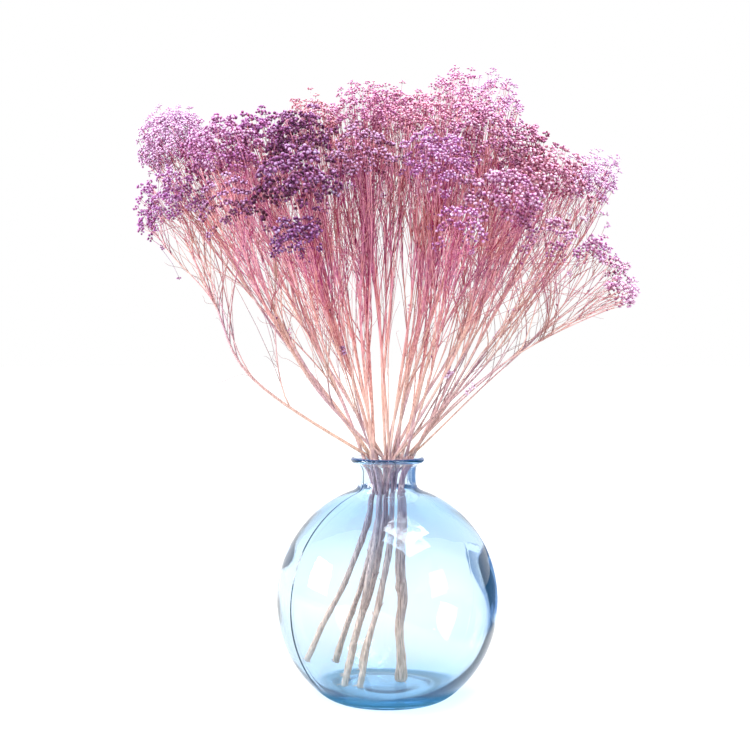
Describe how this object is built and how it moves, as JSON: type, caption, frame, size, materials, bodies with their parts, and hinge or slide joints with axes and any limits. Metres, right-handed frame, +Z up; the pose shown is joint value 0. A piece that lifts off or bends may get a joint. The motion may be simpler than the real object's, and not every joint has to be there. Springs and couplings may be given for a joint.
{
  "type": "dried broom bloom bunch in a vase",
  "caption": "Bunch of dried, dyed broom bloom with wiry stalks and clouds of tiny round seed heads, standing dry in a round blue glass vase.",
  "frame": {"origin": "on the table, at the middle of the vase's foot, under the middle of the bunch's box", "axes": "+Z up along the vase's axis; -Y to the front, the side that the picture shows; +X to the right as seen from the front"},
  "size_m": [0.4989, 0.3294, 0.6409],
  "materials": {
    "glass": "clear pale blue recycled glass, smooth, darker at the lip and the edges",
    "stalk": "dry matt bark: grey-brown and woody in the vase, dusty pink and wiry above it",
    "bloom_violet": "dry matt seed heads, dyed purple-violet",
    "bloom_plum": "dry matt seed heads, dyed dark plum",
    "bloom_lavender": "dry matt seed heads, dyed pale lavender",
    "bloom_rose": "dry matt seed heads, dyed dusty rose"
  },
  "bodies": {
    "root": {"glass_vase": "glass", "stem_left": "stalk", "bloom_left_1": "bloom_violet", "bloom_left_2": "bloom_violet", "bloom_left_3": "bloom_violet", "bloom_left_4": "bloom_violet", "stem_front_left": "stalk", "bloom_front_left_1": "bloom_plum", "bloom_front_left_2": "bloom_plum", "bloom_front_left_3": "bloom_plum", "bloom_front_left_4": "bloom_plum", "bloom_front_left_5": "bloom_plum", "stem_front_right": "stalk", "bloom_front_right_1": "bloom_violet", "bloom_front_right_2": "bloom_violet", "bloom_front_right_3": "bloom_violet", "bloom_front_right_4": "bloom_violet", "stem_right": "stalk", "bloom_right_1": "bloom_lavender", "bloom_right_2": "bloom_lavender", "bloom_right_3": "bloom_lavender", "bloom_right_4": "bloom_lavender", "bloom_right_5": "bloom_lavender", "bloom_right_6": "bloom_lavender", "bloom_right_7": "bloom_lavender", "stem_back_right": "stalk", "bloom_back_right_1": "bloom_lavender", "bloom_back_right_2": "bloom_lavender", "bloom_back_right_3": "bloom_lavender", "stem_back_left": "stalk", "bloom_back_left_1": "bloom_rose", "bloom_back_left_2": "bloom_rose", "bloom_back_left_3": "bloom_rose", "stem_centre": "stalk", "bloom_centre_1": "bloom_rose", "bloom_centre_2": "bloom_rose", "bloom_centre_3": "bloom_rose", "bloom_centre_4": "bloom_rose"}
  },
  "joints": []
}
